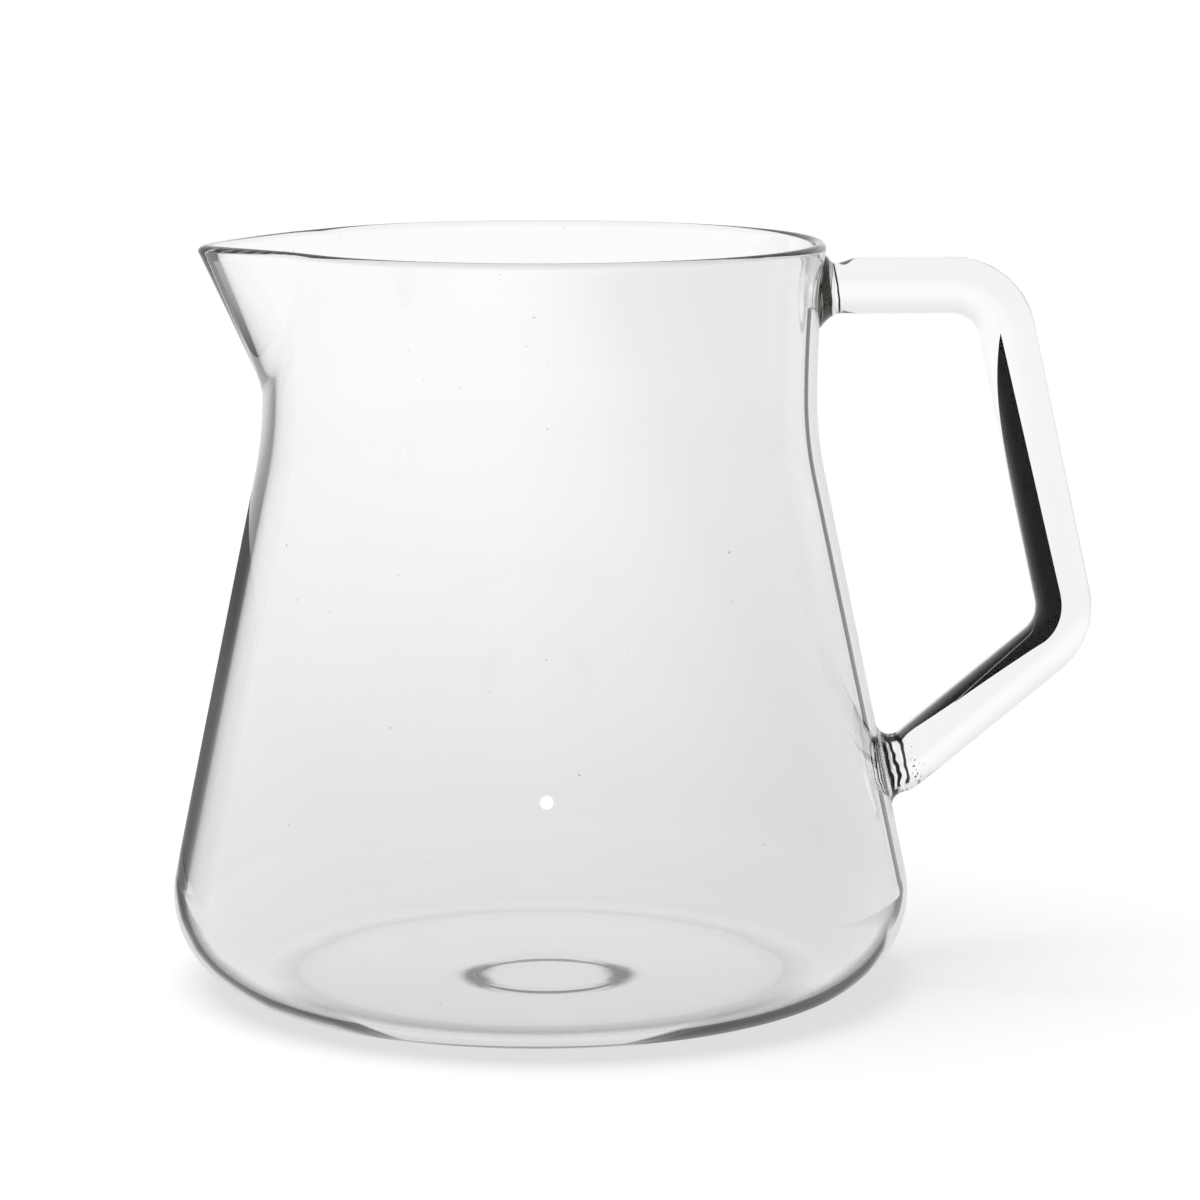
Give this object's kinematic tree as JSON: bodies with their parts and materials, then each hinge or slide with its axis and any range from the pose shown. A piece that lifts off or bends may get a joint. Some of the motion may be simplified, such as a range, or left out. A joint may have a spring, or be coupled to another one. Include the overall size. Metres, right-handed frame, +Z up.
{
  "type": "coffee server carafe",
  "caption": "Clear glass coffee server: a conical vessel with a rounded heel, an open neck, a pulled pouring spout and an angular glass rod handle.",
  "frame": {"origin": "middle of the ring that the vessel stands on, on the vessel's axis", "axes": "+Z up along the vessel's axis, +X towards the handle, -X towards the spout, -Y towards the fill dot"},
  "size_m": [0.1311, 0.105, 0.1059],
  "materials": {
    "vessel_glass": "clear borosilicate, fire polished",
    "rod_glass": "clear borosilicate rod, fire polished",
    "weld_glass": "clear borosilicate, melted and flared",
    "white_enamel": "fired white enamel, slightly glossy"
  },
  "bodies": {
    "root": {"vessel": "vessel_glass", "handle_rod": "rod_glass", "upper_weld": "weld_glass", "lower_weld": "weld_glass", "fill_dot": "white_enamel"}
  },
  "joints": []
}
